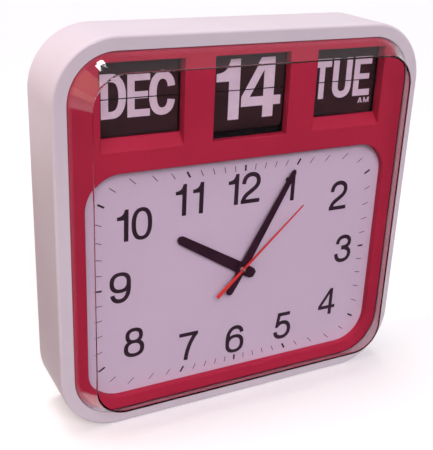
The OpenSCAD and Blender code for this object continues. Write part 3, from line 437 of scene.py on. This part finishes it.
print("digit widths", {d: round(w, 3) for d, w in DIGIT_WIDTH.items()})

# %% [markdown]
# Ink has a thickness, if a small one, and a print must not share its plane with the sheet under it. A
# triangulation of all the outlines keeps each triangle whose topmost shape is ink, and the kept ones become
# a closed film. The film's own axes are right, up and out of the sheet; a matrix lays it on the clock.

# %% Lay a print
FILM = 0.03 * MM
WHOLE_HULL = 0
POINT_GAP = 1e-5
SHARPEST = 0.5


def into_scene(name, mesh, material):
    """Turns a finished bmesh into an object that wears one material."""
    data = bpy.data.meshes.new(name)
    mesh.to_mesh(data)
    mesh.free()
    data.materials.append(material)
    piece = bpy.data.objects.new(name, data)
    bpy.context.scene.collection.objects.link(piece)
    return piece


def runs_left(shape):
    """True for an outline that runs anticlockwise."""
    return sum(a[0] * b[1] - b[0] * a[1] for a, b in zip(shape, shape[1:] + shape[:1])) > 0


def lay_print(name, shapes, place, ink, body):
    """A closed film of ink from painted shapes in millimetres, laid by a matrix, riding on a body."""
    points, faces = [], []
    for _, shape in shapes:
        loop = shape if runs_left(shape) else shape[::-1]
        faces.append(list(range(len(points), len(points) + len(loop))))
        points += [Vector(p) for p in loop]
    found = delaunay_2d_cdt(points, [], faces, WHOLE_HULL, POINT_GAP)
    flat, triangles, sources = found[0], found[2], found[5]
    kept = [t for t, source in zip(triangles, sources) if source and shapes[max(source)][0]]
    used = sorted({i for t in kept for i in t})
    mesh = bmesh.new()
    low = {i: mesh.verts.new((flat[i].x * MM, flat[i].y * MM, 0.0)) for i in used}
    top = {i: mesh.verts.new((flat[i].x * MM, flat[i].y * MM, FILM)) for i in used}
    edges = {(t[k], t[(k + 1) % 3]) for t in kept for k in range(3)}
    for t in kept:
        mesh.faces.new([top[i] for i in t])
        mesh.faces.new([low[i] for i in reversed(t)])
    for a, b in edges:
        if (b, a) not in edges:
            mesh.faces.new([low[a], low[b], top[b], top[a]])
    mesh.transform(place)
    piece = into_scene(name, mesh, ink)
    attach(piece, body)


def spread(shapes, by):
    """The same print with its ink run out by some millimetres, at a sharp corner by twice that at most."""
    grown = []
    for ink, shape in shapes:
        push = by if runs_left(shape) == ink else -by
        moved = []
        for a, p, b in zip(shape[-1:] + shape[:-1], shape, shape[1:] + shape[:1]):
            u = Vector((p[1] - a[1], a[0] - p[0])).normalized()
            v = Vector((b[1] - p[1], p[0] - b[0])).normalized()
            out = (u + v).normalized()
            out *= push / max(out.dot(u), SHARPEST)
            moved.append((p[0] + out.x, p[1] + out.y))
        grown.append((ink, moved))
    return grown


def facing_front(x, y, z):
    """Film axes right, up and towards the reader, at a place on the clock."""
    return Matrix(((1, 0, 0, x), (0, 0, -1, y), (0, 1, 0, z), (0, 0, 0, 1)))


def sized(shapes, height, x, y, wide=1.0):
    """Painted shapes scaled to a capital height and moved, all in millimetres."""
    return [(ink, [(x + px * height * wide, y + py * height) for px, py in shape])
            for ink, shape in shapes]


# %% [markdown]
# The numerals stand upright on a rounded rectangle, so their middles come from the photograph's dial: rows
# above and below the centre and a column at each side. Two digits are set as one numeral with a narrow gap,
# wider in the eleven. A screen is never laid quite true: the whole print is turned by half a degree, and the
# ink has run out a little past the edge of each stroke.

# %% Numerals on the dial
PRINT_TURN = math.radians(-0.5)
INK_RUN = 0.33
NUMERAL_H = 31.0
DIGIT_GAP = {"10": 0.115, "11": 0.23, "12": 0.115}
NUMERALS = {
    "12": (0, 83.5), "1": (52.1, 79.9), "2": (112.7, 62.3), "3": (126.3, 0), "4": (112.8, -61.6),
    "5": (57.3, -79.2), "6": (-0.5, -82.9), "7": (-54, -79.2), "8": (-113, -61.7), "9": (-127.6, 0),
    "10": (-113.6, 62.3), "11": (-58.5, 79.9),
}
dial_place = facing_front(dial_middle.x, dial_face, dial_middle.z) @ Matrix.Rotation(PRINT_TURN, 4, "Z")
for text, (x, y) in NUMERALS.items():
    gap = DIGIT_GAP.get(text, 0)
    wide = sum(DIGIT_WIDTH[d] for d in text) + gap * (len(text) - 1)
    shapes, at = [], x - wide * NUMERAL_H / 2
    for d in text:
        shapes += sized(DIGITS[d], NUMERAL_H, at, y - NUMERAL_H / 2)
        at += (DIGIT_WIDTH[d] + gap) * NUMERAL_H
    lay_print("numeral_" + text, spread(shapes, INK_RUN), dial_place,
              finish["screened_dark_ink"], "case")
print("numerals", len(NUMERALS))

# %% [markdown]
# The minute track is sixty strokes that point at the centre and end on a rounded rectangle. A ray from the
# centre meets a straight side or a corner arc, and halving the stretch in which it leaves the rectangle is
# simpler than solving for both. A rectangle is half its width, half its height and the corner's radius.

# %% Minute track
TRACK_OUT = (152.3, 107.5, 35.0)
TRACK_IN = (145.7, 101.6, 32.0)
HOUR_PEN = 2.0
MINUTE_PEN = 0.75
OUTSIDE = 250.0
HALVINGS = 40


def inside(x, y, size):
    """True for a point in a rounded rectangle about the centre."""
    half_w, half_h, r = size
    dx, dy = max(abs(x) - half_w + r, 0.0), max(abs(y) - half_h + r, 0.0)
    return math.hypot(dx, dy) <= r


def reach(angle, size):
    """Distance from the centre to the edge of a rounded rectangle, by halving."""
    near, far = 0.0, OUTSIDE
    for _ in range(HALVINGS):
        mid = (near + far) / 2
        if inside(mid * math.sin(angle), mid * math.cos(angle), size):
            near = mid
        else:
            far = mid
    return near


strokes = []
for i in range(60):
    angle = math.radians(6 * i)
    radii = [reach(angle, size) for size in (TRACK_IN, TRACK_OUT)]
    ends = [(r * math.sin(angle), r * math.cos(angle)) for r in radii]
    strokes.append((True, stroke(ends, HOUR_PEN if i % 5 == 0 else MINUTE_PEN)))
lay_print("minute_track", strokes, dial_place, finish["screened_dark_ink"], "case")
print("track strokes", len(strokes))

# %% [markdown]
# The calendar leaves carry bold letters. They are printed across the split, half on one leaf and half on
# the next, so each word is drawn whole and a bare bar wipes off the half that a leaf doesn't carry.

# %% Bold letters for the leaves
BOLD = 0.185


def heavy(shape_list):
    """Shapes that are all ink."""
    return [(True, shape) for shape in shape_list]


LETTERS = {
    "D": heavy([curve(line((0.0, 0.0), (0.26, 0.0)),
                      ((0.26, 0.0), (0.48, 0.0), (0.60, 0.19), (0.60, 0.5)),
                      ((0.60, 0.5), (0.60, 0.81), (0.48, 1.0), (0.26, 1.0)),
                      line((0.26, 1.0), (0.0, 1.0)), steps=8)])
    + [(False, curve(line((0.175, 0.165), (0.24, 0.165)),
                     ((0.24, 0.165), (0.36, 0.165), (0.42, 0.27), (0.42, 0.5)),
                     ((0.42, 0.5), (0.42, 0.73), (0.36, 0.835), (0.24, 0.835)),
                     line((0.24, 0.835), (0.175, 0.835)), steps=8))],
    "E": heavy([bar(0, 0, 0.175, 1), bar(0.1, 0, 0.55, 0.17), bar(0.1, 0.83, 0.55, 1),
                bar(0.1, 0.42, 0.5, 0.585)]),
    "C": heavy([stroke(curve(((0.515, 0.66), (0.505, 0.83), (0.42, 0.922), (0.305, 0.922)),
                             ((0.305, 0.922), (0.155, 0.922), (0.088, 0.76), (0.088, 0.5)),
                             ((0.088, 0.5), (0.088, 0.24), (0.155, 0.078), (0.305, 0.078)),
                             ((0.305, 0.078), (0.42, 0.078), (0.505, 0.17), (0.515, 0.35))), BOLD * 0.93)]),
    "T": heavy([bar(0.0, 0.815, 0.56, 1.0), bar(0.197, 0.0, 0.363, 0.9)]),
    "U": heavy([stroke(curve(line((0.09, 1.0), (0.09, 0.32)),
                             ((0.09, 0.32), (0.09, 0.16), (0.165, 0.077), (0.295, 0.077)),
                             ((0.295, 0.077), (0.425, 0.077), (0.50, 0.16), (0.50, 0.32)),
                             line((0.50, 0.32), (0.50, 1.0)), steps=8),
                       BOLD * 0.95)]),
    "J": heavy([stroke(curve(line((0.385, 1.0), (0.385, 0.3)),
                             ((0.385, 0.3), (0.385, 0.15), (0.335, 0.077), (0.235, 0.077)),
                             ((0.235, 0.077), (0.135, 0.077), (0.085, 0.15), (0.085, 0.35)), steps=8),
                       BOLD * 0.95)]),
    "A": [(True, [(0.0, 0.0), (0.19, 0.0), (0.225, 0.19), (0.385, 0.19), (0.42, 0.0), (0.61, 0.0),
                  (0.405, 1.0), (0.205, 1.0)]),
          (False, [(0.25, 0.34), (0.36, 0.34), (0.305, 0.72)])],
    "N": heavy([bar(0.0, 0.0, 0.175, 1.0), bar(0.405, 0.0, 0.58, 1.0),
                [(0.0, 1.0), (0.405, 0.0), (0.58, 0.0), (0.175, 1.0)]]),
    "M": heavy([bar(0.0, 0.0, 0.15, 1.0), bar(0.6, 0.0, 0.75, 1.0),
                [(0.0, 1.0), (0.3, 0.0), (0.45, 0.0), (0.16, 1.0)],
                [(0.75, 1.0), (0.45, 0.0), (0.3, 0.0), (0.59, 1.0)]]),
    "P": [(True, bar(0.0, 0.0, 0.15, 1.0)), (True, bowl(0.3, 0.71, 0.29, 0.29)),
          (False, bowl(0.27, 0.71, 0.16, 0.16)), (True, bar(0.0, 0.42, 0.15, 1.0))],
    "1": heavy([curve(line((0.0, 0.655), (0.0, 0.79)),
                      ((0.0, 0.79), (0.14, 0.795), (0.235, 0.86), (0.255, 1.0)),
                      line((0.255, 1.0), (0.44, 1.0)), steps=6)
                + [(0.44, 0.0), (0.235, 0.0), (0.235, 0.655)]]),
    "4": [(True, [(0.0, 0.205), (0.0, 0.375), (0.36, 1.0), (0.625, 1.0), (0.625, 0.205)]),
          (False, [(0.16, 0.365), (0.42, 0.365), (0.42, 0.815)]),
          (True, bar(0.42, 0.0, 0.625, 0.3)), (True, bar(0.5, 0.205, 0.765, 0.365))],
    "5": heavy([bar(0.1, 0.83, 0.66, 1.0), [(0.1, 1.0), (0.04, 0.43), (0.215, 0.43), (0.265, 0.9)],
                stroke(curve(((0.12, 0.45), (0.18, 0.54), (0.26, 0.575), (0.36, 0.575)),
                             ((0.36, 0.575), (0.52, 0.575), (0.605, 0.47), (0.605, 0.325)),
                             ((0.605, 0.325), (0.605, 0.17), (0.50, 0.085), (0.35, 0.085)),
                             ((0.35, 0.085), (0.20, 0.085), (0.115, 0.15), (0.1, 0.27))), BOLD)]),
}
print("letters", len(LETTERS))

# %% [markdown]
# What each leaf says now, and what it says after the next fall. Every letter is set one by one: its left
# edge in millimetres from the middle of the drum, and its width as a factor. A line of text has a height and
# a base, counted from the split, and both were read off the photograph through the lens.

# %% Words on the leaves
MONTH_LINE = (38.5, -17.2)
DATE_LINE = (55.4, -27.5)
DAY_LINE = (38.0, -16.2)
NOON_LINE = (5.2, -23.5)
NOON_WIDE = 1.75
LEAVES = {"month": 12, "date": 31, "day": 14}
SPLIT = 0.5
WIPE = 60.0


def word(text_line, *letters):
    """Letters on one line, each with its left edge and its width factor."""
    height, base = text_line
    return [part for glyph, x, wide in letters for part in sized(LETTERS[glyph], height, x, base, wide)]


tuesday = word(DAY_LINE, ("T", -34.3, 0.97), ("U", -11.4, 1.0), ("E", 14.0, 0.98))
WORDS = {
    "month": (word(MONTH_LINE, ("D", -34.0, 1.0), ("E", -9.6, 1.0), ("C", 10.6, 1.08)),
              word(MONTH_LINE, ("J", -34.0, 1.0), ("A", -14.0, 1.0), ("N", 11.5, 1.0))),
    "date": (word(DATE_LINE, ("1", -32.9, 1.0), ("4", -6.4, 1.0)),
             word(DATE_LINE, ("1", -32.9, 1.0), ("5", -3.0, 1.0))),
    "day": (tuesday + word(NOON_LINE, ("A", 21.4, NOON_WIDE), ("M", 28.4, NOON_WIDE)),
            tuesday + word(NOON_LINE, ("P", 21.8, NOON_WIDE), ("M", 28.4, NOON_WIDE))),
}
UPPER_ONLY = [(False, bar(-WIPE, -WIPE, WIPE, SPLIT))]
LOWER_ONLY = [(False, bar(-WIPE, -SPLIT, WIPE, WIPE))]
lilac = finish["screened_lilac_ink"]
for m, (now, following) in WORDS.items():
    x, z = drum_axis[m].x, drum_axis[m].z
    front = facing_front(x, leaf_face[m], z)
    step = 2 * math.pi / LEAVES[m]
    axis = Matrix.Translation(drum_axis[m])
    lean = axis @ Matrix.Rotation(-step, 4, "X") @ axis.inverted()
    behind = Matrix(((1, 0, 0, x), (0, 0, 1, leaf_face[m] + leaf_thick), (0, -1, 0, z), (0, 0, 0, 1)))
    for side, shapes, place, body in (
            ("_upper_print", now + UPPER_ONLY, front, m + "_leaf"),
            ("_lower_print", now + LOWER_ONLY, front, m + "_drum"),
            ("_next_upper_print", following + UPPER_ONLY, lean @ front, m + "_drum"),
            ("_next_lower_print", following + LOWER_ONLY, behind, m + "_leaf")):
        lay_print(m + side, shapes, place, lilac, body)
print("leaf prints", 4 * len(WORDS))

# %% [markdown]
# The hands are held by a small turned pin at the centre. It is a lathe shape: a profile of radius and height
# turned round the axis. It covers the plain stub of the second hand.

# %% Centre pin
PIN_PROFILE = [(0.0, 1.75), (0.9, 1.7), (1.55, 1.45), (1.9, 1.05), (2.0, 0.55), (2.0, 0.0), (0.0, 0.0)]
PIN_SIDES = 32
PIN_SEAT = 1.4 * MM
PIN_SHARP = math.radians(50)


def lathe(profile, sides):
    """A bmesh of radius and height pairs turned round the upright axis; a radius of 0 is one point."""
    mesh = bmesh.new()
    rings = []
    for r, h in profile:
        turns = [2 * math.pi * k / sides for k in range(sides if r else 1)]
        rings.append([mesh.verts.new((r * math.cos(t), r * math.sin(t), h)) for t in turns])
    for a, b in zip(rings, rings[1:]):
        for k in range(sides):
            n = (k + 1) % sides
            corners = [a[k % len(a)], b[k % len(b)], b[n % len(b)], a[n % len(a)]]
            mesh.faces.new(list(dict.fromkeys(corners)))
    return mesh


mesh = lathe([(r * MM, h * MM) for r, h in PIN_PROFILE], PIN_SIDES)
second_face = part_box("second_hand")[0].y
mesh.transform(facing_front(dial_middle.x, second_face + PIN_SEAT, dial_middle.z))
mesh.normal_update()
centre_pin = into_scene("centre_pin", mesh, finish["turned_nickel_pin"])
centre_pin.data.shade_smooth()
centre_pin.data.set_sharp_from_angle(angle=PIN_SHARP)
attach(centre_pin, "second_train")
print("centre pin at", [round(v / MM, 1) for v in dial_middle])

# %% [markdown]
# The clock stands in a round studio cove: a plain floor whose far edge curls up into a low wall, so that
# every view has paper behind it. The paper's own grey sends only a modest bounce up to the sides of the
# case. For the camera, and for what the lens and the steel mirror, it is white paper with a little light of
# its own, so it reads as white and takes a soft shadow; up the wall the light is stronger, but not in a
# mirror, where it would veil the lens. Rays that have left a matt surface meet the grey paper alone. A ray's
# depth counts its bounces, so one half lies between none and one.

# %% Floor
COVE = [(0.3, 0.0), (4.6, 0.0), (5.2, 0.1), (5.7, 0.34), (6.1, 0.74), (6.36, 1.24), (6.46, 1.8), (6.5, 2.6)]
COVE_SIDES = 96
WALL_GLOW = 2.2
ANY_BOUNCE = 0.5
paper, tree, output, place = fresh("white_studio_paper")
rays = add(tree, "ShaderNodeLightPath")
seen = add(tree, "ShaderNodeMath", {0: rays.outputs["Is Camera Ray"], 1: rays.outputs["Is Glossy Ray"]},
           operation="MAXIMUM")
through = add(tree, "ShaderNodeMath", {0: seen.outputs["Value"], 1: rays.outputs["Is Transmission Ray"]},
              operation="MAXIMUM")
first = add(tree, "ShaderNodeMath", {0: rays.outputs["Diffuse Depth"], 1: ANY_BOUNCE},
            operation="LESS_THAN")
lift = add(tree, "ShaderNodeMath", {0: through.outputs["Value"], 1: first.outputs["Value"]},
           operation="MULTIPLY")
tone = add(tree, "ShaderNodeMix", {
    "Factor": lift.outputs["Value"], "A": linear("#ADADAD"), "B": linear("#F3F3F3")}, data_type="RGBA")
height = add(tree, "ShaderNodeSeparateXYZ", {"Vector": place})
peak = add(tree, "ShaderNodeMath", {0: rays.outputs["Is Glossy Ray"], 1: 1.0 - WALL_GLOW, 2: WALL_GLOW},
           operation="MULTIPLY_ADD")
wash = add(tree, "ShaderNodeMapRange", {
    "Value": height.outputs["Z"], "To Min": 1.0, "To Max": peak.outputs["Value"]})
glow = add(tree, "ShaderNodeMath", {0: lift.outputs["Value"], 1: wash.outputs["Result"]},
           operation="MULTIPLY")
coat(tree, output, {
    "Base Color": tone.outputs["Result"], "Roughness": 0.9, "Emission Color": linear("#868686"),
    "Emission Strength": glow.outputs["Value"]})
mesh = lathe(COVE, COVE_SIDES)
mesh.faces.new(list(mesh.verts)[:COVE_SIDES])
floor = into_scene("floor", mesh, paper)
floor.data.shade_smooth()

# %% [markdown]
# The light is a plain room: a broad light from above, a panel at the upper left, a softer light from the
# front left, a pale surround, a warm bounce from the left, and one lamp tube. A convex corner squeezes what
# it mirrors along the bend and not across it, so the thin tube, lying along the bend, shows as a small white
# patch at the corner of the lens. The two lights above are left out of all mirrors and of what is seen
# through the lens, where they would show as one large glare. Every lamp points at that corner.

# %% Lamps
LENS_CORNER = Vector((-0.1496, -0.0335, 0.3568))
TUBE_THICK = 0.01
# name: kind, power, width in metres or a sun's angle in degrees, place, line of its width, colour, mirrored
LAMPS = {
    "lamp_tube": ("AREA", 0.275, 0.34, (-0.466, 0.163, 1.602), (0.965, 0.14, 0.224), "#FFFFFF", True),
    "warm_bounce": ("AREA", 5.5, 1.2, (-1.35, 0.0, 1.05), (0.0, 1.0, 0.0), "#FFC4A8", True),
    "overhead": ("SUN", 0.94, 25, (-0.15, 0.19, 1.782), (1.0, 0.0, 0.0), "#FFFFFF", False),
    "ceiling_panel": ("AREA", 2.2, 0.5, (-0.55, 0.1, 1.15), (1.0, 0.0, 0.0), "#FFFFFF", False),
    "front": ("SUN", 1.43, 30, (-0.35, -1.233, 1.257), (1.0, 0.0, 0.0), "#FFF4FC", True),
}
for name, (kind, power, size, at, along, colour, mirrored) in LAMPS.items():
    lamp_data = bpy.data.lights.new(name, kind)
    lamp_data.energy = power
    lamp_data.color = linear(colour)[:3]
    if kind == "SUN":
        lamp_data.angle = math.radians(size)
    else:
        lamp_data.size = size
    if name == "lamp_tube":
        lamp_data.shape = "RECTANGLE"
        lamp_data.size_y = TUBE_THICK
    away = (Vector(at) - LENS_CORNER).normalized()
    up = away.cross(Vector(along)).normalized()
    lamp = bpy.data.objects.new(name, lamp_data)
    lamp.matrix_world = Matrix.Translation(at) @ Matrix((up.cross(away), up, away)).transposed().to_4x4()
    lamp.visible_glossy = mirrored
    lamp.visible_transmission = mirrored
    bpy.context.scene.collection.objects.link(lamp)
print("lamps", len(LAMPS))

world = bpy.data.worlds.new("studio")
bpy.context.scene.world = world
world.use_nodes = True
tree = world.node_tree
tree.nodes.clear()
sky = add(tree, "ShaderNodeBackground", {"Color": linear("#FDF6FB"), "Strength": 0.3})
output = add(tree, "ShaderNodeOutputWorld", {"Surface": sky.outputs["Background"]})
bpy.context.scene.view_settings.view_transform = "Standard"

# %% [markdown]
# A lens mirrors whatever lies in front of it, and a white floor would lay a grey veil over the leaves. A
# photographer puts a black card there. Ours lies on the floor in front and to the left, and only rays that
# the clock has mirrored meet it, so it takes no light away and never shows itself.

# %% Black card
CARD = [(-2.0, 0.8), (-0.21, 0.8), (-0.21, -0.06), (0.6, -0.06), (3.4, -3.0), (0.0, -4.5), (-3.4, -3.0)]
CARD_UP = 2 * MM
velvet, tree, output, _ = fresh("black_velvet")
black = add(tree, "ShaderNodeBsdfPrincipled", {"Base Color": linear("#1A1216"), "Roughness": 1.0})
bare = add(tree, "ShaderNodeBsdfTransparent")
rays = add(tree, "ShaderNodeLightPath")
mirrored = add(tree, "ShaderNodeMath", {0: rays.outputs["Glossy Depth"], 1: ANY_BOUNCE},
               operation="GREATER_THAN")
mixed_coat(tree, output, mirrored.outputs["Value"], bare, black)
mesh = bmesh.new()
mesh.faces.new([mesh.verts.new((x, y, CARD_UP)) for x, y in reversed(CARD)])
card = into_scene("black_card", mesh, velvet)
card.visible_camera = False
card.visible_diffuse = False
card.visible_shadow = False
